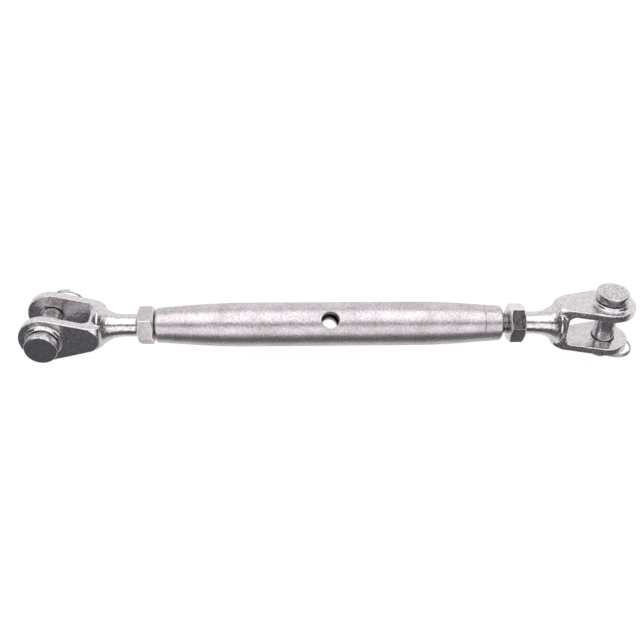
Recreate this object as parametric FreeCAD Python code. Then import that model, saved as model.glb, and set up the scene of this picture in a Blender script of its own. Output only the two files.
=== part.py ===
import FreeCAD, Part
import math
import os

os.makedirs("parts", exist_ok=True)

# Shroud adjuster for an M8 rigging screw, in millimetres.
# The barrel lies along X with its middle at the origin, and +Z is up from the surface it lies on.
# Each fork is drawn at its own clevis pin: x towards the barrel, z along the pin to its head.

# Barrel
BARREL_HALF = 64.8
BARREL_R = 8.2
BARREL_END_R = 6.45
STRAIGHT_HALF = 31.0
TAPER_BEND = 9.2
END_CHAMFER = 0.8
MARK_FROM_END = 5.6
MARK_DEPTH = 0.22
MARK_HALF_W = 0.22
TAPPED_LENGTH = 20.0
CORE_CLEAR = 0.65
BAR_HOLE_R = 3.2
BAR_HOLE_TILT = 11.0
BAR_HOLE_CHAMFER = 0.35

# Thread
THREAD_R = 3.95
THREAD_CLEAR = 0.07
STUD_TIP_GAP = 4.6
TIP_CHAMFER = 0.9

# Lock nuts
NUT_FLATS = 13.0
NUT_H = 6.8
NUT_CHAMFER_DEG = 30.0
NUT_FACE_INSET = 0.2
NUT_MOUTH = 0.4
LEFT_NUT_GAP = 0.4
RIGHT_NUT_GAP = 2.8
LEFT_NUT_CORNER = 10.0
RIGHT_NUT_CORNER = -20.6

# Forks
LEFT_TILT = 38.0
RIGHT_TILT = -53.6
GAP = 12.3
EAR_T = 3.0
EAR_R = 9.2
EAR_TAPER = 14.4
ROOT_END = 20.2
ROOT_EDGE = 1.1
EAR_EDGE = 0.7
SLOT_BOTTOM = 16.0
SLOT_CORNER = 2.6
BOSS_R = 6.4
BOSS_H = 1.2
BOSS_EDGE = 0.3
EAR_HOLE_CLEAR = 0.35
EAR_HOLE_CHAMFER = 0.3
NECK_STEP = 0.25
LEFT_NECK_END = 32.1
RIGHT_NECK_END = 30.7
LEFT_NECK_GAP = 0.4
RIGHT_NECK_GAP = 0.2
BELL = [(18.4, 7.7), (19.2, 8.0), (20.3, 7.0), (21.6, 6.05), (23.3, 5.1), (25.3, 4.45)]
BELL_END = 28.0

# Clevis pins and split rings
PIN_R = 3.95
HEAD_R = 5.98
HEAD_H = 3.0
HEAD_EDGE = 0.45
SHANK_CHAMFER = 0.5
LEFT_HEAD_GAP = 1.17
RIGHT_HEAD_GAP = 0.72
PIN_PLAY = 2.1
RING_HOLE_FROM_END = 2.05
RING_HOLE_R = 1.3
RING_HOLE_CHAMFER = 0.25
RING_WIRE_R = 0.4
RING_WIRE_SIDES = 10
RING_R = 6.2
RING_LIFT = 0.82
RING_STEP_AT = 5.7
RING_STEP_DEG = 100.8
RING_END_GAP_DEG = 2.0
LEFT_RING_TURN = 18.0
RIGHT_RING_TURN = 180.0
LEFT_RING_SWING = 0.0
RIGHT_RING_SWING = 3.0

# What follows from the sizes above
STUD_TIP_X = BAR_HOLE_R + STUD_TIP_GAP
TAPPED_R = THREAD_R + THREAD_CLEAR
CORE_R = THREAD_R + CORE_CLEAR
NECK_R = THREAD_R + NECK_STEP
NUT_FACE_R = NUT_FLATS / 2 - NUT_FACE_INSET
EAR_HOLE_R = PIN_R + EAR_HOLE_CLEAR
EAR_OUT = GAP / 2 + EAR_T
BOSS_OUT = EAR_OUT + BOSS_H
LEFT_NUT_X = -BARREL_HALF - LEFT_NUT_GAP - NUT_H
RIGHT_NUT_X = BARREL_HALF + RIGHT_NUT_GAP
LEFT_PIN_X = LEFT_NUT_X - LEFT_NECK_GAP - LEFT_NECK_END
RIGHT_PIN_X = RIGHT_NUT_X + NUT_H + RIGHT_NECK_GAP + RIGHT_NECK_END
RING_HOLE_FROM_HEAD = 2 * BOSS_OUT + PIN_PLAY
SHANK = RING_HOLE_FROM_HEAD + RING_HOLE_FROM_END
X = FreeCAD.Vector(1, 0, 0)
Y = FreeCAD.Vector(0, 1, 0)
Z = FreeCAD.Vector(0, 0, 1)
O = FreeCAD.Vector(0, 0, 0)


def V(x, y, z):
    return FreeCAD.Vector(x, y, z)


def turned(edges):
    """A solid of revolution about X from a closed run of edges in the plane y = 0."""
    face = Part.Face(Part.Wire(Part.__sortEdges__(edges)))
    return face.revolve(O, X, 360)


def line(a, b):
    return Part.makeLine(V(a[0], 0, a[1]), V(b[0], 0, b[1]))


def run(points):
    """Straight edges through points of (x, radius)."""
    return [line(a, b) for a, b in zip(points, points[1:])]


def curve(points, start=None, end=None):
    """A smooth edge through points of (x, radius), with end directions where they are given."""
    spline = Part.BSplineCurve()
    where = [V(x, 0, r) for x, r in points]
    if start:
        spline.interpolate(Points=where, InitialTangent=V(start[0], 0, start[1]), FinalTangent=V(end[0], 0, end[1]))
    else:
        spline.interpolate(where)
    return spline.toShape()


def drum(r, x0, x1):
    return Part.makeCylinder(r, x1 - x0, V(x0, 0, 0), X)


def mouth(r, depth, at, along):
    """A countersink of the given depth that opens a hole of radius r, along its way out."""
    return Part.makeCone(r, r + depth * 1.2, depth * 1.2, at - along * depth, along)


def fork_frame(pin_x, tilt, towards):
    """The placement of a fork's own axes in the part's frame."""
    roll = FreeCAD.Rotation(X, tilt)
    if towards < 0:
        roll = roll.multiply(FreeCAD.Rotation(Z, 180))
    return FreeCAD.Placement(V(pin_x, 0, 0), roll)


def placed(shape, frame):
    return shape.transformed(frame.toMatrix(), True)


def make_barrel():
    edge = BARREL_HALF - END_CHAMFER
    mark = BARREL_HALF - MARK_FROM_END

    # Past the straight middle an arc turns into a cone, and both touch the same two lines.
    fall = (BARREL_R - BARREL_END_R) / (BARREL_HALF - STRAIGHT_HALF - TAPER_BEND)
    lean = math.atan(fall)
    big_r = TAPER_BEND / math.tan(lean / 2)
    bend_x = STRAIGHT_HALF + big_r * math.sin(lean)

    def taper(x):
        """The cone's radius at x."""
        return BARREL_END_R + (BARREL_HALF - x) * fall

    def half(sign, stops):
        """One end of the body's outline, from the straight middle outwards."""
        middle = STRAIGHT_HALF + big_r * math.sin(lean / 2)
        drop = big_r * (1 - math.cos(lean / 2))
        start = V(sign * STRAIGHT_HALF, 0, BARREL_R)
        through = V(sign * middle, 0, BARREL_R - drop)
        bend = Part.Arc(start, through, V(sign * bend_x, 0, taper(bend_x))).toShape()
        points = [(sign * x, r) for x, r in [(bend_x, taper(bend_x))] + stops]
        return [bend] + run(points), points[-1]

    ring_mark = [(mark - MARK_HALF_W, taper(mark - MARK_HALF_W)), (mark, taper(mark) - MARK_DEPTH)]
    ring_mark += [(mark + MARK_HALF_W, taper(mark + MARK_HALF_W))]
    end = (edge, taper(edge))
    left, left_end = half(-1, [end])
    right, right_end = half(1, ring_mark + [end])
    lip = BARREL_END_R - END_CHAMFER
    edges = left + right
    edges += run([(-STRAIGHT_HALF, BARREL_R), (STRAIGHT_HALF, BARREL_R)])
    edges += run([left_end, (-BARREL_HALF, lip), (-BARREL_HALF, 0), (BARREL_HALF, 0), (BARREL_HALF, lip), right_end])
    body = turned(edges)
    tapped = TAPPED_R
    inner = BARREL_HALF - TAPPED_LENGTH
    cone = CORE_R - tapped
    bore = [(-BARREL_HALF - 1, 0), (-BARREL_HALF - 1, tapped), (-inner, tapped), (-inner + cone, CORE_R)]
    bore += [(inner - cone, CORE_R), (inner, tapped), (BARREL_HALF + 1, tapped), (BARREL_HALF + 1, 0)]
    bore += [(-BARREL_HALF - 1, 0)]
    body = body.cut(turned(run(bore)))
    for side in (-1, 1):
        body = body.cut(mouth(tapped, NUT_MOUTH, V(side * BARREL_HALF, 0, 0), X * side))
    tilt = math.radians(BAR_HOLE_TILT)
    way = V(0, math.sin(tilt), math.cos(tilt))
    hole = Part.makeCylinder(BAR_HOLE_R, 4 * BARREL_R, way * (-2 * BARREL_R), way)
    for side in (-1, 1):
        hole = hole.fuse(mouth(BAR_HOLE_R, BAR_HOLE_CHAMFER + 0.75, way * (side * BARREL_R), way * side))
    return body.cut(hole).removeSplitter()


def make_nut(x0, corner_deg):
    across = NUT_FLATS / math.sqrt(3)
    ring = []
    for k in range(7):
        a = math.radians(corner_deg + 60 * k)
        ring.append(V(x0, across * math.sin(a), across * math.cos(a)))
    prism = Part.Face(Part.makePolygon(ring)).extrude(X * NUT_H)
    drop = (across + 0.2 - NUT_FACE_R) * math.tan(math.radians(NUT_CHAMFER_DEG))
    x1 = x0 + NUT_H
    rim = across + 0.2
    outline = [(x0, 0), (x0, NUT_FACE_R), (x0 + drop, rim), (x1 - drop, rim), (x1, NUT_FACE_R), (x1, 0), (x0, 0)]
    nut = prism.common(turned(run(outline)))
    tapped = TAPPED_R
    nut = nut.cut(drum(tapped, x0 - 1, x1 + 1))
    nut = nut.cut(mouth(tapped, NUT_MOUTH, V(x0, 0, 0), X * -1))
    return nut.cut(mouth(tapped, NUT_MOUTH, V(x1, 0, 0), X))


def make_fork(neck_end, stud_end):
    # The ears and the web between them: a plate that narrows towards the neck, with its end rounded over.
    taper = math.radians(EAR_TAPER)
    touch = V(EAR_R * math.sin(taper), EAR_R * math.cos(taper), 0)
    root = V(ROOT_END, touch.y - (ROOT_END - touch.x) * math.tan(taper), 0)
    low = [V(p.x, -p.y, 0) for p in (touch, root)]
    outline = [
        Part.Arc(touch, V(-EAR_R, 0, 0), low[0]).toShape(),
        Part.makeLine(low[0], low[1]),
        Part.makeLine(low[1], root),
        Part.makeLine(root, touch),
    ]
    slab = Part.Face(Part.Wire(outline)).extrude(Z * (2 * EAR_OUT))
    slab.translate(Z * -EAR_OUT)
    flat = [e for e in slab.Edges if abs(abs(e.CenterOfMass.z) - EAR_OUT) < 0.01 and e.CenterOfMass.x < ROOT_END - 0.1]
    slab = slab.makeFillet(EAR_EDGE, flat)
    back = -EAR_R - SLOT_BOTTOM
    wide = EAR_OUT
    bend = ROOT_END - ROOT_EDGE
    k = ROOT_EDGE * (1 - math.sqrt(0.5))
    side_view = [
        Part.makeLine(V(back, 0, -wide), V(bend, 0, -wide)),
        Part.Arc(V(bend, 0, -wide), V(ROOT_END - k, 0, -wide + k), V(ROOT_END, 0, -wide + ROOT_EDGE)).toShape(),
        Part.makeLine(V(ROOT_END, 0, -wide + ROOT_EDGE), V(ROOT_END, 0, wide - ROOT_EDGE)),
        Part.Arc(V(ROOT_END, 0, wide - ROOT_EDGE), V(ROOT_END - k, 0, wide - k), V(bend, 0, wide)).toShape(),
        Part.makeLine(V(bend, 0, wide), V(back, 0, wide)),
        Part.makeLine(V(back, 0, wide), V(back, 0, -wide)),
    ]
    block = Part.Face(Part.Wire(side_view)).extrude(Y * (4 * EAR_R))
    block.translate(Y * (-2 * EAR_R))
    fork = slab.common(block)
    # The bell that flares from the neck to the web is round all the way, and wider than the web.
    bell_line = BELL + [(BELL_END, NECK_R)]
    rim = [(BELL_END, NECK_R), (BELL_END, 0), (BELL[0][0], 0), BELL[0]]
    fork = fork.fuse(turned([curve(bell_line)] + run(rim)))
    corner = SLOT_BOTTOM - SLOT_CORNER
    g = GAP / 2
    k = SLOT_CORNER * (1 - math.sqrt(0.5))
    slot = [
        Part.makeLine(V(back, 0, -g), V(corner, 0, -g)),
        Part.Arc(V(corner, 0, -g), V(SLOT_BOTTOM - k, 0, -g + k), V(SLOT_BOTTOM, 0, -g + SLOT_CORNER)).toShape(),
        Part.makeLine(V(SLOT_BOTTOM, 0, -g + SLOT_CORNER), V(SLOT_BOTTOM, 0, g - SLOT_CORNER)),
        Part.Arc(V(SLOT_BOTTOM, 0, g - SLOT_CORNER), V(SLOT_BOTTOM - k, 0, g - k), V(corner, 0, g)).toShape(),
        Part.makeLine(V(corner, 0, g), V(back, 0, g)),
        Part.makeLine(V(back, 0, g), V(back, 0, -g)),
    ]
    cutter = Part.Face(Part.Wire(slot)).extrude(Y * (4 * EAR_R))
    cutter.translate(Y * (-2 * EAR_R))
    fork = fork.cut(cutter)
    for side in (-1, 1):
        boss = Part.makeCylinder(BOSS_R, BOSS_H + 0.5, Z * (side * (EAR_OUT - 0.5)), Z * side)
        rim = [e for e in boss.Edges if len(e.Vertexes) == 1 and abs(abs(e.CenterOfMass.z) - BOSS_OUT) < 0.01]
        fork = fork.fuse(boss.makeChamfer(BOSS_EDGE, rim))
    hole = Part.makeCylinder(EAR_HOLE_R, 4 * EAR_R, Z * (-2 * EAR_R), Z)
    for side in (-1, 1):
        hole = hole.fuse(mouth(EAR_HOLE_R, EAR_HOLE_CHAMFER, Z * (side * BOSS_OUT), Z * side))
    fork = fork.cut(hole)
    step = NECK_R - THREAD_R
    tip = stud_end - TIP_CHAMFER
    shaft = [(SLOT_BOTTOM + 1, 0), (SLOT_BOTTOM + 1, NECK_R), (neck_end - step, NECK_R), (neck_end, THREAD_R)]
    shaft += [(tip, THREAD_R), (stud_end, THREAD_R - TIP_CHAMFER), (stud_end, 0), (SLOT_BOTTOM + 1, 0)]
    return fork.fuse(turned(run(shaft))).removeSplitter()


def ring_hinge(head_gap):
    """The split ring's hole: its height on the pin's axis."""
    return BOSS_OUT + head_gap - RING_HOLE_FROM_HEAD


def make_pin(head_gap, ring_turn):
    under = BOSS_OUT + head_gap
    head = Part.makeCylinder(HEAD_R, HEAD_H, Z * under, Z)
    top = [e for e in head.Edges if len(e.Vertexes) == 1 and e.CenterOfMass.z > under + HEAD_H / 2]
    head = head.makeChamfer(HEAD_EDGE, top)
    shank = Part.makeCylinder(PIN_R, SHANK + 0.5, Z * (under - SHANK), Z)
    end = [e for e in shank.Edges if len(e.Vertexes) == 1 and e.CenterOfMass.z < under - SHANK / 2]
    pin = head.fuse(shank.makeChamfer(SHANK_CHAMFER, end))
    h = ring_hinge(head_gap)
    a = math.radians(ring_turn + 90)
    way = V(math.cos(a), math.sin(a), 0)
    hole = Part.makeCylinder(RING_HOLE_R, 4 * PIN_R, Z * h - way * (2 * PIN_R), way)
    for side in (-1, 1):
        depth = RING_HOLE_CHAMFER + 0.25
        hole = hole.fuse(mouth(RING_HOLE_R, depth, Z * h + way * (side * PIN_R), way * side))
    return pin.cut(hole).removeSplitter()


def step_arcs(half_turn, rise):
    """The tilt, sweep and radius of an arc that leaves a coil along its tangent and rises halfway to the next.
    It ends square to the radius at half_turn, so that its mirror image carries on smoothly."""
    sweep, radius = half_turn, RING_R
    for _ in range(60):
        tilt = math.asin(rise / (radius * (1 - math.cos(sweep))))
        sweep = math.atan(math.tan(half_turn) / math.cos(tilt))
        reach = math.sin(sweep) + math.tan(half_turn) * math.cos(tilt) * (1 - math.cos(sweep))
        radius = RING_R * math.tan(half_turn) / reach
    return tilt, sweep, radius


def make_ring(head_gap, ring_turn, swing):
    """Two turns of round wire that lie on each other, with a step from one to the other opposite the pin.
    The wire is bent arc by arc: each bend turns the section about its own axis from where the last one ended."""
    near = math.sqrt(RING_R ** 2 - PIN_R ** 2)
    centre = X * ((RING_R + near) / 2)
    rise = RING_LIFT / 2
    half_step = RING_STEP_DEG / 2
    tilt, sweep, radius = step_arcs(math.radians(half_step), rise)

    def radial(deg):
        return V(math.cos(math.radians(deg)), math.sin(math.radians(deg)), 0)

    # Each coil ends a little before the step that passes over or under it.
    begin = RING_STEP_AT + half_step + RING_END_GAP_DEG
    coil_deg = 360 - RING_STEP_DEG - RING_END_GAP_DEG
    leave = radial(RING_STEP_AT - half_step)
    outward = leave * math.cos(tilt) - Z * math.sin(tilt)
    climb_at = centre + leave * RING_R - Z * rise - outward * radius
    climb_axis = outward.cross(Z.cross(leave))
    half_round = FreeCAD.Rotation(radial(RING_STEP_AT), 180)
    bends = [
        (centre - Z * rise, Z, coil_deg),
        (climb_at, climb_axis, math.degrees(sweep)),
        (centre + half_round.multVec(climb_at - centre), half_round.multVec(climb_axis) * -1, math.degrees(sweep)),
        (centre + Z * rise, Z, coil_deg),
    ]
    start = radial(begin)
    corners = []
    for k in range(RING_WIRE_SIDES + 1):
        a = 2 * math.pi * (k + 0.5) / RING_WIRE_SIDES
        across = start * (RING_R + RING_WIRE_R * math.cos(a))
        corners.append(centre + across + Z * (RING_WIRE_R * math.sin(a) - rise))
    section = Part.Face(Part.makePolygon(corners))
    wire = []
    for middle, axis, deg in bends:
        wire.append(section.revolve(middle, axis, deg))
        section = section.copy()
        section.rotate(middle, axis, deg)
    ring = wire[0].fuse(wire[1:]).removeSplitter()
    ring.rotate(O, Y, -swing)
    ring.rotate(O, Z, ring_turn)
    ring.translate(Z * ring_hinge(head_gap))
    return ring


LEFT = fork_frame(LEFT_PIN_X, LEFT_TILT, 1)
RIGHT = fork_frame(RIGHT_PIN_X, RIGHT_TILT, -1)

pieces = {
    "barrel": make_barrel(),
    "left_lock_nut": make_nut(LEFT_NUT_X, LEFT_NUT_CORNER),
    "right_lock_nut": make_nut(RIGHT_NUT_X, RIGHT_NUT_CORNER),
    "left_fork": placed(make_fork(LEFT_NECK_END, -STUD_TIP_X - LEFT_PIN_X), LEFT),
    "right_fork": placed(make_fork(RIGHT_NECK_END, RIGHT_PIN_X - STUD_TIP_X), RIGHT),
    "left_clevis_pin": placed(make_pin(LEFT_HEAD_GAP, LEFT_RING_TURN), LEFT),
    "right_clevis_pin": placed(make_pin(RIGHT_HEAD_GAP, RIGHT_RING_TURN), RIGHT),
    "left_split_ring": placed(make_ring(LEFT_HEAD_GAP, LEFT_RING_TURN, LEFT_RING_SWING), LEFT),
    "right_split_ring": placed(make_ring(RIGHT_HEAD_GAP, RIGHT_RING_TURN, RIGHT_RING_SWING), RIGHT),
}

for name, shape in pieces.items():
    solids = shape.Solids
    print(name, "solids", len(solids), "valid", shape.isValid(), "volume", round(shape.Volume, 2), shape.BoundBox)
    solids[0].exportStep("parts/" + name + ".step")
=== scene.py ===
# %% [markdown]
# # A shroud adjuster in stainless steel
# The real object is a closed rigging screw: a turned tube with a fork screwed into each end, a lock nut on each
# stud, and a clevis pin with a split ring through each fork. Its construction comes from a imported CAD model. Here
# every piece is modelled again with the edges, threads and wire that a maker would see, and gets its finish.

import math

import bpy
from mathutils import Matrix, Vector


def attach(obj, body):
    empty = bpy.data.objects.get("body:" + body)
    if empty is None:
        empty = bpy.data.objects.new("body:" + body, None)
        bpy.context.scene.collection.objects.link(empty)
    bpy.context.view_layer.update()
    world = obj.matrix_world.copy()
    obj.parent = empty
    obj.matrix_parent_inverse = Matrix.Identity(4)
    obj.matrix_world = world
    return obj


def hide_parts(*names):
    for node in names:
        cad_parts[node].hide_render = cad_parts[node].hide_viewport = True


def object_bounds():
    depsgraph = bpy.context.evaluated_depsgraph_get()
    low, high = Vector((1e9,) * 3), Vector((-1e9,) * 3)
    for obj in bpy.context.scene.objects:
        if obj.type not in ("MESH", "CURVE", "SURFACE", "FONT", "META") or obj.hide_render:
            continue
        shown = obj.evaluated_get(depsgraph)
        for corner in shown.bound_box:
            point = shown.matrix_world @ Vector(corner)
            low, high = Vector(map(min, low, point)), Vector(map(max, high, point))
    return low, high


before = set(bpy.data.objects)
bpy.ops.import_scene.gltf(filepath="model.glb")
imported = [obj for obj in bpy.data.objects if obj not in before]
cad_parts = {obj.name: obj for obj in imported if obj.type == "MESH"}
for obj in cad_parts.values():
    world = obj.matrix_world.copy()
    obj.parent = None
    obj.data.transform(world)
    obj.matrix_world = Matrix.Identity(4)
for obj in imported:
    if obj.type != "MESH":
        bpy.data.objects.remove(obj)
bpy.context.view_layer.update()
MM = 0.001


# %% [markdown]
# ## Tools for turned and milled pieces
# Nearly everything here is turned on a lathe, so the main helper does the same: it draws half a section by
# extruding one point from place to place, and spins it about X. Milled faces and drilled holes are then cut with
# Boolean modifiers, as a cutter would, and applied. Sizes are written in millimetres, and MM makes metres of them.


# %% Select a piece and open it
def only(obj):
    """Selects this object alone and makes it active."""
    if bpy.context.object and bpy.context.object.mode != "OBJECT":
        bpy.ops.object.mode_set(mode="OBJECT")
    bpy.ops.object.select_all(action="DESELECT")
    obj.select_set(True)
    bpy.context.view_layer.objects.active = obj


def edit_all(obj):
    """Opens a piece in edit mode with all of it selected."""
    only(obj)
    bpy.ops.object.mode_set(mode="EDIT")
    bpy.ops.mesh.select_all(action="SELECT")


def tidy(obj):
    """Merges points that meet and turns every face outwards."""
    edit_all(obj)
    bpy.ops.mesh.remove_doubles(threshold=0.001 * MM)
    bpy.ops.mesh.select_all(action="SELECT")
    bpy.ops.mesh.normals_make_consistent(inside=False)
    bpy.ops.object.mode_set(mode="OBJECT")


print("edit helpers ready")


# %% Draw a line of points and spin it
def single_point(name, at):
    """A mesh of one point, from a plane whose corners are merged. It stays open in edit mode."""
    bpy.ops.object.select_all(action="DESELECT")
    bpy.ops.mesh.primitive_plane_add(size=MM)
    obj = bpy.context.object
    obj.name = obj.data.name = name
    edit_all(obj)
    bpy.ops.mesh.merge(type="CENTER")
    bpy.ops.transform.translate(value=[c * MM for c in at])
    return obj


def extrude_along(points):
    """Extrudes the selected point from each of these points to the next."""
    for here, there in zip(points, points[1:]):
        step = [(b - a) * MM for a, b in zip(here, there)]
        bpy.ops.mesh.extrude_region_move(TRANSFORM_OT_translate={"value": step})
    bpy.ops.mesh.select_all(action="SELECT")


def turned(name, section, steps=96):
    """A closed piece turned about X, from its section as (x, radius). It starts and ends on the axis, or comes
    back to its first point where it has a bore."""
    line = [(x, 0, r) for x, r in section]
    obj = single_point(name, line[0])
    extrude_along(line)
    bpy.ops.mesh.spin(steps=steps, angle=math.tau, center=(0, 0, 0), axis=(1, 0, 0))
    tidy(obj)
    return obj


def with_mirror(half):
    """A section's left half, with the same half again towards +X."""
    return half + [(-x, r) for x, r in reversed(half)]


print("lathe ready")


# %% Cut, move and finish a piece
def apply_all(obj):
    only(obj)
    for modifier in list(obj.modifiers):
        bpy.ops.object.modifier_apply(modifier=modifier.name)


def boolean(obj, other, operation):
    """Cuts, keeps or joins with another piece, which is used up."""
    cut = obj.modifiers.new("cut", "BOOLEAN")
    cut.operation, cut.solver, cut.object = operation, "EXACT", other
    apply_all(obj)
    bpy.data.objects.remove(other)


def turn(degrees, axis):
    return Matrix.Rotation(math.radians(degrees), 4, axis)


def shift(x=0.0, y=0.0, z=0.0):
    return Matrix.Translation((x * MM, y * MM, z * MM))


def put(obj, matrix):
    """Turns and moves the mesh itself, so that the object stays at the origin."""
    only(obj)
    obj.matrix_world = matrix
    bpy.context.view_layer.update()
    bpy.ops.object.transform_apply(location=True, rotation=True, scale=True)
    return obj


def finished(obj, angle):
    """Smooths the shading up to an angle, and prints the piece's measure."""
    only(obj)
    bpy.ops.object.shade_smooth_by_angle(angle=math.radians(angle))
    triangles = sum(len(p.vertices) - 2 for p in obj.data.polygons)
    print(f"{obj.name}: {triangles} triangles, {[round(d / MM, 1) for d in obj.dimensions]} mm")
    return obj


print("cutters ready")

# %% [markdown]
# ## The barrel
# The body is one turned tube: straight in the middle, then a slope that steepens gently towards each end. A fine
# ring is scribed near the right end, the usual sign of the left-hand thread. The section follows the taper in
# short steps, because a long facet shows at once in a shiny surface, and the cross hole is drilled last.

# %% Sizes of the barrel
BARREL_HALF, BARREL_R, BARREL_END_R, STRAIGHT_HALF = 64.8, 8.2, 6.45, 31.0
TAPER_BEND = 9.2
END_CHAMFER = 0.8
BORE_R, HOLLOW_R, TAPPED_LENGTH = 4.02, 4.6, 20
THREAD_MOUTH, THREAD_MOUTH_DEPTH = 0.45, 0.4
MARK_X, MARK_DEPTH, MARK_CLEAR = 57.8, 0.22, 0.6
BAR_HOLE_R, BAR_HOLE_TILT = 3.2, 11.0
OUTER_STATIONS = 44
print("barrel:", 2 * BARREL_HALF, "mm long and", 2 * BARREL_R, "mm across")


# %% The barrel's section
def taper(x):
    """The body's radius: level, then an arc, and from its end a cone."""
    fall = (BARREL_R - BARREL_END_R) / (BARREL_HALF - STRAIGHT_HALF - TAPER_BEND)
    lean = math.atan(fall)
    bend_r = TAPER_BEND / math.tan(lean / 2)
    out = abs(x) - STRAIGHT_HALF
    if out <= 0:
        return BARREL_R
    if out < bend_r * math.sin(lean):
        return BARREL_R - bend_r + math.sqrt(bend_r**2 - out**2)
    return BARREL_END_R + (BARREL_HALF - abs(x)) * fall


def barrel_section():
    """The outside from left to right, and back through the bore. The chamfers' edges are a little broken."""
    edge, inner = BARREL_HALF - END_CHAMFER, BARREL_HALF - TAPPED_LENGTH
    stations = [-edge + 2 * edge * i / OUTER_STATIONS for i in range(OUTER_STATIONS + 1)]
    outside = [(x, taper(x)) for x in stations if abs(x - MARK_X) > MARK_CLEAR]
    level = taper(MARK_X)
    outside += [(MARK_X - MARK_DEPTH, level), (MARK_X, level - MARK_DEPTH), (MARK_X + MARK_DEPTH, level)]
    lip = BARREL_END_R - END_CHAMFER
    left_end = [(-BARREL_HALF, BORE_R + THREAD_MOUTH), (-BARREL_HALF, lip - 0.05)]
    left_end += [(-BARREL_HALF + 0.06, lip + 0.08), (-edge - 0.08, taper(edge) - 0.06)]
    right_end = [(-x, r) for x, r in reversed(left_end)]
    bore = [(BARREL_HALF - THREAD_MOUTH_DEPTH, BORE_R), (inner, BORE_R), (inner - 0.6, HOLLOW_R)]
    bore += [(-x, r) for x, r in reversed(bore)]
    return left_end + sorted(outside) + right_end + bore + left_end[:1]


print("barrel section:", len(barrel_section()), "points")


# %% Turn the barrel and drill its cross hole
def bar_hole_cutter():
    """A drill through the axis that widens a little where it comes out, for a softened mouth."""
    r = BAR_HOLE_R
    half = [(-12, 0), (-12, r + 1.2), (-BARREL_R - 0.15, r + 0.4), (-BARREL_R + 0.1, r + 0.12)]
    half += [(-BARREL_R + 0.5, r)]
    return put(turned("cutter", with_mirror(half), steps=64), turn(90 - BAR_HOLE_TILT, "X") @ turn(90, "Z"))


barrel = turned("barrel_body", barrel_section(), steps=144)
boolean(barrel, bar_hole_cutter(), "DIFFERENCE")
tidy(barrel)
finished(barrel, 24)

# %% [markdown]
# ## The lock nuts
# A hexagon nut is a hexagon prism that has been faced off in a lathe, which leaves the curved 30 degree chamfers.
# So one round section is spun, and its outer points are then moved out to the hexagon, and along X to the cone.
# A very small bevel takes the sharpness off the edges.

# %% Sizes of the nuts
NUT_FLATS, NUT_H, NUT_FACE_R, NUT_CHAMFER = 13.0, 6.1, 5.95, 30
NUT_BEVEL, BEVELLED_FROM = 0.13, 18
NUTS = {"left": dict(start=-71.3, corner=10.0), "right": dict(start=67.3, corner=-20.6)}
print("nuts:", NUT_FLATS, "mm across flats")


# %% Shape both lock nuts
def round_nut(name):
    """The nut before it is a hexagon: a bored disc with one row of points for the chamfer on each side."""
    half = NUT_H / 2
    section = [(-half + THREAD_MOUTH_DEPTH, BORE_R), (-half, BORE_R + THREAD_MOUTH), (-half, NUT_FACE_R)]
    section += [(-half + 0.5, NUT_FACE_R + 1), (0, NUT_FACE_R + 1)]
    section += [(-x, r) for x, r in reversed(section[:-1])]
    return turned(name, section + section[:1], steps=144)


def lock_nut(side):
    nut = round_nut(side + "_nut")
    half, slope = NUT_H / 2, math.tan(math.radians(NUT_CHAMFER))
    for v in nut.data.vertices:
        r = math.hypot(v.co.y, v.co.z) / MM
        if r < NUT_FACE_R + 0.5:
            continue
        from_flat = math.degrees(math.atan2(v.co.y, v.co.z)) % 60 - 30
        hexagon = NUT_FLATS / 2 / math.cos(math.radians(from_flat))
        v.co.y *= hexagon / r
        v.co.z *= hexagon / r
        if abs(v.co.x) > 0.001 * MM:
            v.co.x = math.copysign((half - (hexagon - NUT_FACE_R) * slope) * MM, v.co.x)
    edge = nut.modifiers.new("edge", "BEVEL")
    edge.limit_method, edge.angle_limit = "ANGLE", math.radians(BEVELLED_FROM)
    edge.width, edge.segments = NUT_BEVEL * MM, 2
    apply_all(nut)
    put(nut, shift(x=NUTS[side]["start"] + half) @ turn(-NUTS[side]["corner"], "X"))
    return finished(nut, 20)


left_nut = lock_nut("left")
right_nut = lock_nut("right")

# %% [markdown]
# ## The forks
# A fork is one casting: two round ears with raised bosses, a web, a bell that flares out of the neck, and a stud
# with a rolled thread. Castings have no sharp edges. So the hard form is built first, with a turned bell, a milled
# outline and cutters, and then a voxel remesh and a few rounds of smoothing melt the edges as polishing does.
# Each fork is made at the origin, lying along X with its clevis pin along Z, and is moved to its place at the end.

# %% Sizes of the forks
GAP, EAR_T, EAR_R, EAR_TAPER = 12.3, 3.0, 9.2, 14.4
SLOT_BOTTOM, SLOT_CORNER = 16.0, 2.6
BOSS_R, BOSS_H, BOSS_SUNK = 6.4, 1.2, 0.5
EAR_HOLE_R, EAR_HOLE_MOUTH = 4.3, 0.35
ROOT_END, ROOT_EDGE = 20.2, 1.1
ROOT_BEVEL = [(11.5, 14.5), (14.2, 12.0), (16.4, 10.6), (18.4, 9.7), (19.6, 9.0), (20.3, 8.2)]
BELL_START = (17.2, 7.0)
BELL = [(18.4, 7.7), (19.2, 8.0), (20.3, 7.0), (21.6, 6.05), (23.3, 5.1), (25.3, 4.45), (28.0, 4.2)]
NECK_R, THREAD_R, THREAD_ROOT_R, PITCH, STUD_TIP_X = 4.2, 3.95, 3.28, 1.25, 7.8
EAR_OUT = GAP / 2 + EAR_T
BOSS_OUT = EAR_OUT + BOSS_H
SKIN_VOXEL, POLISH_STRENGTH, POLISH_ROUNDS = 0.24, 0.5, 7
BEYOND = 20
SIDES = {
    "left": dict(pin_x=-104.5, tilt=38.0, turn=0, neck_end=32.9, head_gap=1.17, ring_turn=18.0, swing=0.0),
    "right": dict(pin_x=105.3, tilt=-53.6, turn=180, neck_end=31.8, head_gap=0.72, ring_turn=180.0, swing=3.0),
}
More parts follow.
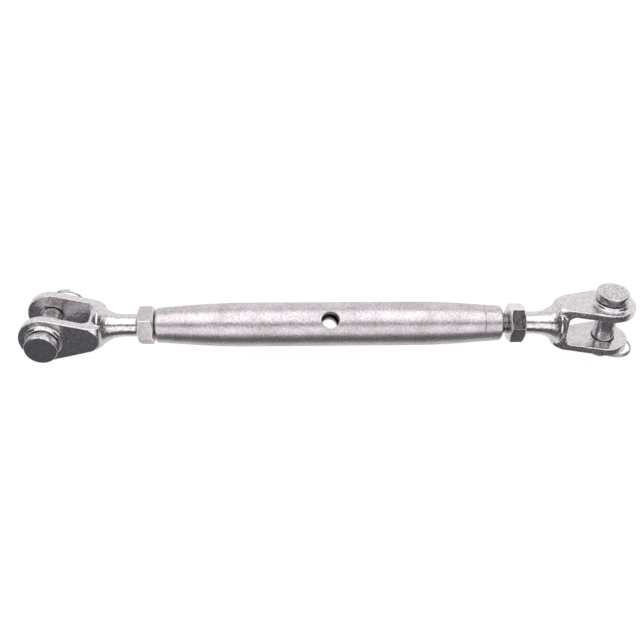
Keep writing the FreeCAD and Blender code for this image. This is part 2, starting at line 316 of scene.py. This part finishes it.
print("pin to pin:", SIDES["right"]["pin_x"] - SIDES["left"]["pin_x"], "mm")


# %% Place on the screw, curves and flat plates
def fork_place(side):
    """The turn and move that take a piece from the fork's own axes to its place."""
    s = SIDES[side]
    return shift(x=s["pin_x"]) @ turn(s["tilt"], "X") @ turn(s["turn"], "Z")


def arc(cx, cy, radius, start, end, count):
    """Points of a rounded corner, from one angle to another in degrees."""
    angles = [math.radians(start + (end - start) * i / count) for i in range(count + 1)]
    return [(cx + radius * math.cos(a), cy + radius * math.sin(a)) for a in angles]


def smooth_curve(points, count):
    """Points of a smooth line through the given ones (Catmull-Rom)."""
    ends = [points[0]] + list(points) + [points[-1]]
    out = []
    for k in range(len(points) - 1):
        a, b, c, d = (Vector(p) for p in ends[k : k + 4])
        for i in range(count):
            t = i / count
            square, cube = 2 * a - 5 * b + 4 * c - d, 3 * b - a - 3 * c + d
            out.append(tuple(0.5 * (2 * b + (c - a) * t + square * t * t + cube * t**3)))
    return out + [tuple(points[-1])]


def plate(name, outline, low, high):
    """A flat piece between two heights: an outline in X and Y, filled and extruded up."""
    line = [(x, y, low) for x, y in outline]
    obj = single_point(name, line[0])
    extrude_along(line)
    bpy.ops.mesh.edge_face_add()
    bpy.ops.mesh.extrude_region_move(TRANSFORM_OT_translate={"value": (0, 0, (high - low) * MM)})
    tidy(obj)
    return obj


print("left fork's place in mm:", [round(c / MM, 1) for c in fork_place("left").translation])


# %% Outlines of the ears, the web and the slot
def both_sides(upper):
    """An outline's upper side, with the same line again below the axis."""
    return upper + [(x, -y) for x, y in reversed(upper)]


def ear_outline():
    """The ears from above: round at the pin, and narrowing in a straight line to the root."""
    lean = math.radians(EAR_TAPER)
    touch = (EAR_R * math.sin(lean), EAR_R * math.cos(lean))
    end_y = touch[1] - (ROOT_END - touch[0]) * math.tan(lean)
    return both_sides(arc(0, 0, EAR_R, 180, 90 - EAR_TAPER, 40) + [(ROOT_END, end_y)])


def side_outline():
    """The web from the side, with its corners towards the neck rounded."""
    corner = arc(ROOT_END - ROOT_EDGE, EAR_OUT - ROOT_EDGE, ROOT_EDGE, 90, 0, 6)
    return both_sides([(-BEYOND, EAR_OUT)] + corner)


def slot_outline():
    """The slot from the side, open at the ears and with round corners at its bottom."""
    corner = arc(SLOT_BOTTOM - SLOT_CORNER, GAP / 2 - SLOT_CORNER, SLOT_CORNER, 90, 0, 8)
    return both_sides([(-BEYOND, GAP / 2)] + corner)


def side_cutter(name, outline):
    """A wide prism that was drawn flat and is stood on its side."""
    return put(plate(name, outline, -BEYOND, BEYOND), turn(90, "X"))


print("outlines of", len(ear_outline()), "and", len(side_outline()), "and", len(slot_outline()), "points")


# %% Build one casting in its own axes
def boss(sign):
    """The raised ring on an ear's outer face, with a fillet at its foot and a broken edge."""
    section = [(0, 0), (0, BOSS_R + 0.5), (0.7, BOSS_R + 0.05), (1.4, BOSS_R), (1.7, BOSS_R - 0.3), (1.7, 0)]
    return put(turned("boss", section), shift(z=sign * (EAR_OUT - BOSS_SUNK)) @ turn(-90 * sign, "Y"))


def ear_drill():
    """The clevis pin's hole through both ears, with a countersunk mouth in each boss."""
    half = [(-BEYOND, 0), (-BEYOND, 9.5 + EAR_HOLE_R), (-BOSS_OUT + EAR_HOLE_MOUTH, EAR_HOLE_R)]
    return put(turned("drill", with_mirror(half)), turn(90, "Y"))


def casting(name, neck_end):
    piece = plate(name, ear_outline(), -EAR_OUT, EAR_OUT)
    boolean(piece, side_cutter("side", side_outline()), "INTERSECT")
    root = [(-16, 0), (-16, ROOT_BEVEL[0][1])] + ROOT_BEVEL + [(ROOT_BEVEL[-1][0], 0)]
    boolean(piece, turned("bevel", root, 120), "INTERSECT")
    tidy(piece)
    boolean(piece, side_cutter("slot", slot_outline()), "DIFFERENCE")
    bell = [(BELL_START[0], 0), BELL_START] + smooth_curve(BELL, 6)
    bell += [(neck_end - (NECK_R - THREAD_R), NECK_R), (neck_end, THREAD_R), (neck_end, 0)]
    boolean(piece, turned("bell", bell, 120), "UNION")
    for sign in (-1, 1):
        boolean(piece, boss(sign), "UNION")
    boolean(piece, ear_drill(), "DIFFERENCE")
    skin = piece.modifiers.new("skin", "REMESH")
    skin.mode, skin.voxel_size = "VOXEL", SKIN_VOXEL * MM
    polish = piece.modifiers.new("polish", "SMOOTH")
    polish.factor, polish.iterations = POLISH_STRENGTH, POLISH_ROUNDS
    apply_all(piece)
    return piece


left_fork = casting("left_fork_casting", SIDES["left"]["neck_end"])
right_fork = casting("right_fork_casting", SIDES["right"]["neck_end"])
print("castings:", len(left_fork.data.polygons), "and", len(right_fork.data.polygons), "faces")

# %% [markdown]
# ## The threads
# The studs have an M8 thread with a pitch of 1.25 mm, right-handed on the left fork and left-handed on the right
# one. The screw operator winds one tooth through one turn, and an array repeats the turn along the stud. The ends
# are cut square and filled, and the tip is pressed in to a cone so that it starts easily.


# %% Measure a thread's hand
def wound(obj):
    """Above 0 where the mesh winds as a right-hand thread: its tooth moves along +X as it turns about +X."""
    total = 0.0
    for edge in obj.data.edges:
        a, b = (obj.data.vertices[i].co for i in edge.vertices)
        ra, rb = math.hypot(a.y, a.z), math.hypot(b.y, b.z)
        if abs(ra - rb) < 0.001 * MM and ra > (THREAD_R - 0.005) * MM:
            total += (a.y * b.z - a.z * b.y) * (b.x - a.x)
    return total


def hand(obj):
    return "left" if wound(obj) < 0 else "right"


TOOTH = [(0, THREAD_R - 0.03), (0.08, THREAD_R), (0.22, THREAD_R), (0.56, THREAD_ROOT_R + 0.03)]
TOOTH += [(0.66, THREAD_ROOT_R), (0.80, THREAD_ROOT_R), (0.90, THREAD_ROOT_R + 0.03), (PITCH, THREAD_R - 0.03)]
print("tooth depth:", round(THREAD_R - THREAD_ROOT_R, 2), "mm")


# %% Wind a thread and join it to its fork
def long_thread(name, start, end):
    """One tooth, wound once and repeated from beyond the end to before the start."""
    obj = single_point(name, (end + 0.2, 0, TOOTH[0][1]))
    extrude_along([(x, 0, r) for x, r in TOOTH])
    bpy.ops.mesh.screw(steps=36, turns=1, center=(0, 0, 0), axis=(1, 0, 0))
    bpy.ops.object.mode_set(mode="OBJECT")
    row = obj.modifiers.new("turns", "ARRAY")
    row.count = int((end - start) / PITCH) + 4
    row.use_relative_offset, row.use_constant_offset = False, True
    row.constant_offset_displace = (-PITCH * MM, 0, 0)
    apply_all(obj)
    edit_all(obj)
    bpy.ops.mesh.remove_doubles(threshold=0.003 * MM)
    return obj


def cut_square(start, end):
    """Cuts the open mesh at both ends and fills the cuts."""
    for at, is_start in ((start, True), (end, False)):
        bpy.ops.mesh.select_all(action="SELECT")
        cut = dict(plane_co=(at * MM, 0, 0), plane_no=(1, 0, 0), use_fill=True)
        bpy.ops.mesh.bisect(**cut, clear_inner=is_start, clear_outer=not is_start)
    bpy.ops.object.mode_set(mode="OBJECT")


def press_tip(obj, end):
    """Presses the last 0.9 mm in to a cone."""
    for v in obj.data.vertices:
        r, most = math.hypot(v.co.y, v.co.z), (THREAD_R - 0.9 + (end - v.co.x / MM)) * MM
        if r > most:
            v.co.y *= most / r
            v.co.z *= most / r


def add_stud(piece, side):
    start, end = SIDES[side]["neck_end"] - 0.8, abs(SIDES[side]["pin_x"]) - STUD_TIP_X
    stud = long_thread(side + "_stud", start, end)
    cut_square(start, end)
    press_tip(stud, end)
    wanted = "left" if side == "right" else "right"
    if hand(stud) != wanted:
        stud.scale.y = -1
        only(stud)
        bpy.ops.object.transform_apply(location=False, rotation=False, scale=True)
    tidy(stud)
    print(stud.name, "winds", hand(stud), "in", len(stud.data.vertices), "points")
    only(piece)
    stud.select_set(True)
    bpy.ops.object.join()
    put(piece, fork_place(side))
    return finished(piece, 40)


add_stud(left_fork, "left")
add_stud(right_fork, "right")

# %% [markdown]
# ## The clevis pins
# Each pin is turned from bar: a flat head with a rounded rim, a plain shank with a chamfered end, and one small
# hole across the shank for the split ring. The hole has a soft mouth on both sides.

# %% Sizes of the pins
PIN_R, HEAD_R, HEAD_H, SHANK = 3.95, 5.98, 3.0, 24.85
RIM_R, TIP_R = 0.45, 0.5
RING_HOLE_FROM_HEAD, RING_HOLE_R = 22.8, 1.3
print("pins:", 2 * PIN_R, "mm thick and", SHANK + HEAD_H, "mm long")


# %% Turn and drill both clevis pins
def pin_section(under):
    """From the tip to the head, whose underside is at this height."""
    low, top = under - SHANK, under + HEAD_H
    section = [(low, 0), (low, PIN_R - 0.55)] + arc(low + TIP_R, PIN_R - TIP_R, TIP_R, 170, 95, 3)
    section += [(low + 1.2, PIN_R), (under - 0.15, PIN_R), (under, PIN_R + 0.12)]
    section += [(under, HEAD_R - 0.2), (under + 0.15, HEAD_R)]
    section += arc(top - RIM_R, HEAD_R - RIM_R, RIM_R, 90, 8, 5)
    return section + [(top, HEAD_R - 0.6), (top - 0.02, HEAD_R - 2.2), (top - 0.02, 0)]


def ring_hole_drill():
    r = RING_HOLE_R
    half = [(-9, 0), (-9, r + 2), (-PIN_R - 0.1, r + 0.45), (-PIN_R + 0.35, r + 0.05), (-PIN_R + 0.7, r)]
    return turned("drill", with_mirror(half), 48)


def clevis_pin(side):
    s = SIDES[side]
    under = BOSS_OUT + s["head_gap"]
    pin = put(turned(side + "_pin", pin_section(under)), turn(-90, "Y"))
    where = shift(z=under - RING_HOLE_FROM_HEAD) @ turn(s["ring_turn"] + 90, "Z")
    boolean(pin, put(ring_hole_drill(), where), "DIFFERENCE")
    tidy(pin)
    put(pin, fork_place(side))
    return finished(pin, 26)


left_pin = clevis_pin("left")
right_pin = clevis_pin("right")

# %% [markdown]
# ## The split rings
# A split ring is two turns of round wire that lie on each other, with a short step where one goes over to the
# other. A curve with a round bevel is the natural way to draw wire. Its ends are filled, and it becomes a mesh.

# %% Sizes of the rings
RING_WIRE_R, RING_R, RING_LIFT = 0.4, 6.2, 0.82
RING_STEP_AT, RING_STEP, RING_END_GAP = 5.7, 100.8, 2.0
RING_POINTS = 150
print("rings:", 2 * (RING_R + RING_WIRE_R), "mm across")


# %% Coil the wire of both split rings
def coil_points():
    """Two turns with a smooth step from the lower to the upper one, as the ring lies in the pin's hole."""
    centre = (RING_R + math.sqrt(RING_R**2 - PIN_R**2)) / 2
    one_turn = 360 - RING_STEP - RING_END_GAP
    begin = RING_STEP_AT + RING_STEP / 2 + RING_END_GAP
    for i in range(RING_POINTS + 1):
        turned_by = (2 * one_turn + RING_STEP) * i / RING_POINTS
        t = min(max((turned_by - one_turn) / RING_STEP, 0), 1)
        rise = RING_LIFT * (t * t * (3 - 2 * t) - 0.5)
        a = math.radians(begin + turned_by)
        yield (centre + RING_R * math.cos(a)) * MM, RING_R * math.sin(a) * MM, rise * MM, 1


def split_ring(side):
    s = SIDES[side]
    line = bpy.data.curves.new(side + "_ring", "CURVE")
    line.dimensions, line.use_fill_caps = "3D", True
    line.bevel_depth, line.bevel_resolution = RING_WIRE_R * MM, 5
    wire = line.splines.new("POLY")
    wire.points.add(RING_POINTS)
    for point, at in zip(wire.points, coil_points()):
        point.co = at
    ring = bpy.data.objects.new(side + "_ring", line)
    bpy.context.scene.collection.objects.link(ring)
    only(ring)
    bpy.ops.object.convert(target="MESH")
    ring = bpy.context.object
    height = BOSS_OUT + s["head_gap"] - RING_HOLE_FROM_HEAD
    put(ring, fork_place(side) @ shift(z=height) @ turn(s["ring_turn"], "Z") @ turn(-s["swing"], "Y"))
    tidy(ring)
    return finished(ring, 50)


left_ring = split_ring("left")
right_ring = split_ring("right")

# %% [markdown]
# ## Each piece takes its CAD node's place
# Every modelled piece hides the plain node that it stands for and rides on the same body, so that it follows the
# screw's motion.

# %% Put the pieces on their bodies
PIECES = {
    "barrel": barrel,
    "left_fork": left_fork,
    "right_fork": right_fork,
    "left_lock_nut": left_nut,
    "right_lock_nut": right_nut,
    "left_clevis_pin": left_pin,
    "right_clevis_pin": right_pin,
    "left_split_ring": left_ring,
    "right_split_ring": right_ring,
}
for node, piece in PIECES.items():
    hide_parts(node)
    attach(piece, node)
print(len(PIECES), "pieces on their bodies")

# %% [markdown]
# ## Materials
# Shader maths reads best as plain expressions. The class below wraps a socket, so that `fleck * 0.6 + cloud * 0.4`
# adds the Math nodes by itself, and one method adds any other node.


# %% A small language for shaders
class Value:
    """A shader value. Python's operators on it add Math nodes."""

    def __init__(self, nodes, socket):
        self.nodes, self.socket = nodes, socket

    def math(self, operation, other):
        return self.nodes.node("Math", {"operation": operation}, [self, other])

    def __add__(self, other):
        return self.math("ADD", other)

    def __mul__(self, other):
        return self.math("MULTIPLY", other)

    __radd__ = __add__
    __rmul__ = __mul__


class Nodes:
    """The nodes of a material or of the world."""

    def __init__(self, owner):
        owner.use_nodes = True
        self.tree = owner.node_tree

    def node(self, kind, settings, values, out=0):
        """Adds a node, sets its settings first and then its inputs, by position or by name."""
        made = self.tree.nodes.new("ShaderNode" + kind)
        for key, value in settings.items():
            setattr(made, key, value)
        for key, value in values.items() if isinstance(values, dict) else enumerate(values):
            if isinstance(value, Value):
                self.tree.links.new(value.socket, made.inputs[key])
            else:
                made.inputs[key].default_value = value
        return Value(self, made.outputs[out])

    def between(self, value, low, high, to_low=0.0, to_high=1.0):
        return self.node("MapRange", {}, [value, low, high, to_low, to_high])

    def rays(self, kind):
        """1 for rays of this kind, such as camera rays, and 0 for all others."""
        return self.node("LightPath", {}, [], out=kind)

    def surface(self, output, shader):
        """Links the last shader to the output node."""
        self.tree.links.new(shader.socket, self.tree.nodes[output].inputs["Surface"])


print("shader values ready")


# %% A material and its usual nodes
class Finish(Nodes):
    """A material, built round its Principled shader."""

    def __init__(self, name, **sockets):
        self.material = bpy.data.materials.new(name)
        super().__init__(self.material)
        self.shader = self.tree.nodes["Principled BSDF"]
        for key, value in sockets.items():
            self.set(key, value)

    def set(self, socket, value):
        target = self.shader.inputs[socket.replace("_", " ")]
        if isinstance(value, Value):
            self.tree.links.new(value.socket, target)
        else:
            target.default_value = value

    def place(self, scale=(1, 1, 1), rotation=(0, 0, 0)):
        """Object coordinates in millimetres, stretched and turned."""
        spot = self.node("TexCoord", {}, {}, out="Object")
        size = tuple(s / MM for s in scale)
        return self.node("Mapping", {}, {"Vector": spot, "Scale": size, "Rotation": rotation})

    def noise(self, where, scale, detail, rough):
        return self.node("TexNoise", {}, {"Vector": where, "Scale": scale, "Detail": detail, "Roughness": rough})

    def reach(self, where, axes):
        """How far a point is from the middle, counting only these axes."""
        kept = self.node("VectorMath", {"operation": "MULTIPLY"}, [where, axes])
        return self.node("VectorMath", {"operation": "LENGTH"}, [kept], out="Value")

    def mix(self, share, first, second):
        return self.node("Mix", {"data_type": "RGBA"}, {0: share, 6: first, 7: second}, out=2)

    def bump(self, height, strength, distance, **under):
        """A Bump node, over another one where Normal is given. Its distance is in millimetres."""
        return self.node("Bump", {}, {"Strength": strength, "Distance": distance * MM, "Height": height, **under})


print("material helpers ready")


# %% The steel's own colour, and how a piece gets its finishes
def grey(level, tint=1.0):
    """Steel as the photograph shows it, a little on the pink and lilac side."""
    return (level * (1 + 0.045 * tint), level * (1 - 0.04 * tint), level, 1.0)


def dress(piece, *finishes):
    """Gives a piece its finishes. All its faces have the first one until they are given another."""
    piece.data.materials.clear()
    for finish in finishes:
        piece.data.materials.append(finish.material)


ROUND_THE_AXIS, ALONG_THE_AXIS = (0.0, 1.0, 1.0), (1.0, 0.0, 0.0)
print("light steel:", [round(c, 3) for c in grey(0.88)])

# %% [markdown]
# ## Brushed steel for the barrel
# The barrel was ground between wheels and tumbled. Close up it has a fine, uneven grain round the axis and a
# cloudy mottle of small bright and dull flecks, which break the long reflections into a soft shimmer. The wall of
# the cross hole is painted dark, a painted shade for the little light that gets in.

# %% Finish of the barrel
brushed = Finish("brushed steel", Metallic=1.0)
spot = brushed.place()
fleck = brushed.noise(spot, 1.3, 3.0, 0.62)
cloud = brushed.noise(spot, 0.16, 2.0, 0.5)
grain = brushed.noise(brushed.place((6.0, 0.7, 0.7)), 1.4, 2.0, 0.6)
mottle = brushed.between(fleck * 0.6 + cloud * 0.25 + grain * 0.15, 0.36, 0.66)
steel = brushed.mix(mottle, grey(0.44), grey(0.88))
# Painted shade: inside the barrel's skin near the middle, on the cross hole's wall and the bore, the steel is
# painted dark grey.
painted_shade_below_skin = brushed.between(brushed.reach(spot, ROUND_THE_AXIS), 7.1, 7.9, 1.0, 0.0)
near_middle = brushed.between(brushed.reach(spot, ALONG_THE_AXIS), 20.0, 22.0, 1.0, 0.0)
brushed.set("Base_Color", brushed.mix(painted_shade_below_skin * near_middle, steel, grey(0.15)))
brushed.set("Roughness", brushed.between(fleck * 0.55 + grain * 0.45, 0.3, 0.7, 0.27, 0.44))
coarse = brushed.bump(fleck, 0.75, 0.05)
brushed.set("Normal", brushed.bump(grain, 0.22, 0.02, Normal=coarse))
dress(barrel, brushed)
print("barrel:", brushed.material.name, len(brushed.tree.nodes), "nodes")

# %% [markdown]
# ## Polished castings for the forks
# The forks are castings that were tumbled bright. Their broad faces are nearly a mirror, but slightly wavy, with
# fine pits left from the mould and faint scuffs. The bottoms of the studs' threads are painted dark, a painted
# shade in the threads' roots.

# %% Finish of the forks
cast = Finish("polished casting", Metallic=1.0)
spot = cast.place()
wave = cast.noise(spot, 0.32, 2.0, 0.5)
dapple = cast.noise(cast.place((0.75, 1.0, 1.0)), 1.15, 3.0, 0.62)
pits = cast.between(cast.noise(spot, 2.2, 3.0, 0.65), 0.50, 0.66)
scuffs = cast.noise(cast.place((0.7, 3.2, 3.2), (0.0, 0.4, 0.6)), 1.6, 3.0, 0.6)
worn = cast.mix(pits * 0.5 + cast.between(dapple, 0.4, 0.65) * 0.5, grey(0.86, 0.6), grey(0.50, 0.6))
# Painted shade: on the studs, below the threads' crests, the steel is painted dark grey.
painted_shade_below_crest = cast.between(cast.reach(spot, ROUND_THE_AXIS), 3.75, 4.02, 1.0, 0.0)
on_stud = cast.between(cast.reach(spot, ALONG_THE_AXIS), 75.0, 76.0, 0.8, 0.0)
cast.set("Base_Color", cast.mix(painted_shade_below_crest * on_stud, worn, grey(0.24, 0.6)))
cast.set("Roughness", cast.between(scuffs * 0.5 + pits * 0.5, 0.15, 0.75, 0.13, 0.32))
wavy = cast.bump(wave, 0.55, 0.36)
dappled = cast.bump(dapple, 0.45, 0.10, Normal=wavy)
cast.set("Normal", cast.bump(pits * -1.0, 0.4, 0.03, Normal=dappled))
dress(left_fork, cast)
dress(right_fork, cast)
print("forks:", cast.material.name, len(cast.tree.nodes), "nodes")

# %% [markdown]
# ## Turned steel for the pins and nuts, and drawn wire for the rings
# Pins and the nuts' ends are machined: nearly flat, with fine specks where the tool tore the surface. The rings
# are plain bright wire.


# %% Finish of the pins, the nuts' ends and the wire
def turned_finish(name, bright, dull):
    skin = Finish(name, Metallic=1.0)
    spot = skin.place()
    wave = skin.noise(spot, 0.5, 2.0, 0.5)
    specks = skin.noise(spot, 1.1, 4.0, 0.7)
    skin.set("Base_Color", skin.mix(skin.between(specks, 0.4, 0.62), grey(bright, 0.5), grey(dull, 0.9)))
    skin.set("Roughness", skin.between(specks, 0.3, 0.7, 0.14, 0.30))
    skin.set("Normal", skin.bump(specks, 0.5, 0.03, Normal=skin.bump(wave, 0.3, 0.15)))
    return skin


def drawn_wire():
    skin = Finish("drawn wire", Metallic=1.0)
    streaks = skin.noise(skin.place(), 2.2, 2.0, 0.5)
    skin.set("Base_Color", skin.mix(streaks, grey(0.70, 0.4), grey(0.56, 0.4)))
    skin.set("Roughness", skin.between(streaks, 0.3, 0.7, 0.14, 0.24))
    return skin


pin_steel = turned_finish("turned pin", 0.86, 0.44)
nut_steel = turned_finish("faced nut and painted highlight flats", 0.94, 0.80)
wire = drawn_wire()
for piece, finish in ((left_pin, pin_steel), (right_pin, pin_steel), (left_ring, wire), (right_ring, wire)):
    dress(piece, finish)
print("pins and rings:", pin_steel.material.name, "and", wire.material.name)

# %% [markdown]
# ## The nuts' flats
# A nut is cut from drawn hexagon bar, so its six flats keep the bar's duller skin, while its ends and chamfers are
# bright from the lathe. The faces are told apart by their normals, and each kind has its own material. On the
# real piece the left nut's flats look grey and the right one's nearly black, apart from the one on top. The right
# nut's flats carry a painted reflection: near black, lighter where they face -Y, and those facing +Y keep the
# bright turned finish as a painted highlight.


# %% Finish of the nuts' flats
def drawn_skin_and_painted_reflection(name, bright, dull):
    """The skin of drawn bar: dull and a little blotchy. Its darker copies on the right nut are a painted
    reflection.
    """
    skin = Finish(name, Metallic=1.0)
    spot = skin.place()
    blotch = skin.between(skin.noise(spot, 0.9, 4.0, 0.7), 0.4, 0.64)
    grit = skin.noise(spot, 3.5, 2.0, 0.6)
    skin.set("Base_Color", skin.mix(blotch, grey(bright, 0.7), grey(dull, 0.7)))
    skin.set("Roughness", skin.between(grit * 0.5 + blotch * 0.5, 0.2, 0.8, 0.36, 0.5))
    skin.set("Normal", skin.bump(grit, 0.4, 0.03))
    return skin


def is_flat(face, corner):
    """True for a face of the hexagon itself, not of the ends, chamfers, bevels or bore."""
    n, at = face.normal, face.center
    lean = (math.degrees(math.atan2(n.y, n.z)) - corner) % 60 - 30
    return n.y * at.y + n.z * at.z > 5.0 * MM and abs(n.x) < 0.05 and abs(lean) < 4


grey_flats = drawn_skin_and_painted_reflection("grey flats", 0.66, 0.53)
painted_dark_flats = drawn_skin_and_painted_reflection("flats of painted dark reflection", 0.15, 0.05)
painted_lighter_flats = drawn_skin_and_painted_reflection("flats of painted lighter reflection", 0.34, 0.20)
dress(left_nut, nut_steel, grey_flats, grey_flats)
# Painted reflection: the right nut's flats get near-black and lighter copies of the drawn skin by the way they
# face.
dress(right_nut, nut_steel, painted_dark_flats, painted_lighter_flats)
# Painted highlight: on the right nut, flats facing further towards +Y than the limit below keep the bright turned
# finish.
for nut, side, painted_highlight_from in ((left_nut, "left", 2.0), (right_nut, "right", 0.5)):
    flats = [face for face in nut.data.polygons if is_flat(face, NUTS[side]["corner"])]
    for face in flats:
        if face.normal.y <= painted_highlight_from:
            face.material_index = 2 if face.normal.y < -0.5 else 1
    print(nut.name, "has", len(flats), "faces on its flats")

# %% [markdown]
# ## Floor, light and camera
# The piece lies on a white studio table. Polished steel shows what is round it, so the light is built as much for
# its reflections as for its brightness: a broad lamp from the far side, a smaller one near the camera, and a dim
# room whose darkness gives the metal its dark bands. The camera sees the table glow white, and the glow is only
# part of what it sees near the object, so that the soft shadow stays. In the steel the table is greyer, and its
# near side is painted dark, a painted shade that only reflections see.

# %% Floor
floor_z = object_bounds()[0][2]
bpy.ops.object.select_all(action="DESELECT")
bpy.ops.mesh.primitive_plane_add(size=4.0, location=(0, 0, floor_z))
floor = bpy.context.object
floor.name = "floor"
paper = Finish("white table", Roughness=0.9)
paper.set("Base_Color", (0.92, 0.92, 0.92, 1.0))
spot = paper.place()
across_table = paper.node("SeparateXYZ", {}, [spot], out="Y")
white = paper.node("Emission", {}, {"Strength": 1.17})
dark = paper.node("Emission", {}, {"Strength": 0.05})
glow = paper.between(paper.reach(spot, (1.0, 1.0, 1.0)), 300.0, 900.0, 0.75, 1.0)
glow = paper.rays("Is Camera Ray") * glow + paper.rays("Is Glossy Ray") * 0.28
# Painted shade: on the table's near side, rays reflected from the steel see a dark glow instead of the lit table.
shade = paper.rays("Is Glossy Ray") * paper.between(across_table, -54.0, -26.0, 0.85, 0.0)
lit = Value(paper, paper.shader.outputs[0])
table = paper.node("MixShader", {}, [glow, lit, white])
paper.surface("Material Output", paper.node("MixShader", {}, [shade, table, dark]))
floor.data.materials.append(paper.material)
print("floor at", round(floor_z / MM, 2), "mm")

# %% Lamps
LAMP_DISTANCE = 0.75


def softbox(name, angle, size, brightness):
    """A lamp across the table, at an angle from straight up towards +Y, that looks as bright as asked."""
    data = bpy.data.lights.new(name, "AREA")
    data.shape, data.size, data.size_y = "RECTANGLE", size[0], size[1]
    data.energy = brightness * math.pi * size[0] * size[1]
    lamp = bpy.data.objects.new(name, data)
    bpy.context.scene.collection.objects.link(lamp)
    a = math.radians(angle)
    lamp.location = (0, LAMP_DISTANCE * math.sin(a), LAMP_DISTANCE * math.cos(a))
    lamp.rotation_euler = (Vector() - lamp.location).to_track_quat("-Z", "Y").to_euler()


softbox("far softbox", 39, (1.7, 0.84), 1.42)
softbox("near softbox", -34, (1.5, 0.66), 1.12)
softbox("far wall", 77, (1.7, 0.32), 0.62)

# %% The room
world = bpy.data.worlds.new("studio")
bpy.context.scene.world = world
room = Nodes(world)
room.tree.nodes.remove(room.tree.nodes["Background"])
dim = room.node("Background", {}, {"Color": (0.47, 0.48, 0.53, 1), "Strength": 0.18})
white = room.node("Background", {}, {"Color": (1, 1, 1, 1), "Strength": 1.0})
room.surface("World Output", room.node("MixShader", {}, [room.rays("Is Camera Ray"), dim, white]))
print("room:", len(room.tree.nodes), "nodes")

# %% [markdown]
# ## The camera
# The photograph was taken from straight above. The camera's place and its small turns were found by matching the
# round ears and pin heads of both forks, and the focal length is given in pixels of the 640 pixel picture.

# %% Camera at the photograph's angle
CAMERA_AT = (-14.654, -0.824, 316.064)
YAW, LEAN, ROLL = -2.0, 0.421, -0.395
FOCAL_PIXELS, PICTURE_PIXELS, SENSOR = 840.185, 640, 36.0
camera_data = bpy.data.cameras.new("camera")
camera = bpy.data.objects.new("camera", camera_data)
bpy.context.scene.collection.objects.link(camera)
camera_data.sensor_width = SENSOR
camera_data.lens = SENSOR * FOCAL_PIXELS / PICTURE_PIXELS
camera_data.clip_start, camera_data.clip_end = 0.01, 20
camera.matrix_world = shift(*CAMERA_AT) @ turn(YAW, "Y") @ turn(LEAN, "X") @ turn(ROLL, "Z")
bpy.context.scene.camera = camera
bpy.context.scene.view_settings.view_transform = "Standard"
print("lens", round(camera_data.lens, 2), "mm")
